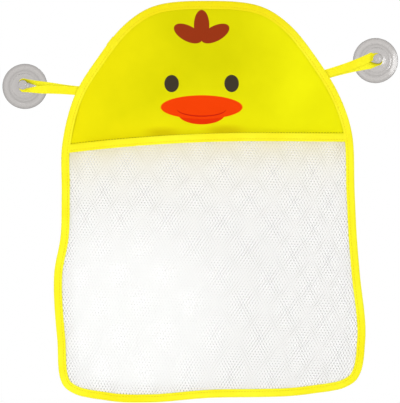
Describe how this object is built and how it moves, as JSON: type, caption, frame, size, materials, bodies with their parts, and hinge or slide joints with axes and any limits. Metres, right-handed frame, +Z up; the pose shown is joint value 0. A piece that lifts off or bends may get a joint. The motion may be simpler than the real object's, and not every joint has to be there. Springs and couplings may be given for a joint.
{
  "type": "bath toy organizer",
  "caption": "Hanging pouch with a dome-shaped cloth head over a bulged net pocket, bound with folded tape and held to a wall by suction cups on tape loops.",
  "frame": {"origin": "on the wall, midway between the centres of the two suction cups", "axes": "+Z up, +Y into the wall, -Y out of the pouch's front, +X to the right as seen from the front"},
  "size_m": [0.4382, 0.032, 0.442],
  "materials": {
    "yellow_cloth": "plain woven polyester",
    "yellow_tape": "woven polyester tape",
    "white_net": "warp-knitted polyester mesh",
    "clear_pvc": "clear soft PVC, glossy"
  },
  "bodies": {
    "bag": {"head_panel": "yellow_cloth", "back_net": "white_net", "pocket_net": "white_net", "mouth_binding": "yellow_tape", "edge_binding": "yellow_tape", "left_strap_root": "yellow_tape", "right_strap_root": "yellow_tape"},
    "left_strap": {"left_strap_loop": "yellow_tape"},
    "left_cup": {"left_suction_cup": "clear_pvc"},
    "right_strap": {"right_strap_loop": "yellow_tape"},
    "right_cup": {"right_suction_cup": "clear_pvc"}
  },
  "joints": [
    {"name": "left_strap_fold", "type": "hinge", "parent": "bag", "child": "left_strap", "pos_m": [-0.13665, -0.0058, -0.01948], "axis": [0.4348, 0, 0.9005], "range_deg": [-90, 90]},
    {"name": "left_cup_spin", "type": "hinge", "parent": "left_strap", "child": "left_cup", "pos_m": [-0.19411, -0.0114, -0.0143], "axis": [0, 1, 0], "continuous": true},
    {"name": "right_strap_fold", "type": "hinge", "parent": "bag", "child": "right_strap", "pos_m": [0.14063, -0.0058, -0.00088], "axis": [0.5375, 0, -0.8433], "range_deg": [-90, 90]},
    {"name": "right_cup_spin", "type": "hinge", "parent": "right_strap", "child": "right_cup", "pos_m": [0.19411, -0.0114, 0.0143], "axis": [0, 1, 0], "continuous": true}
  ]
}
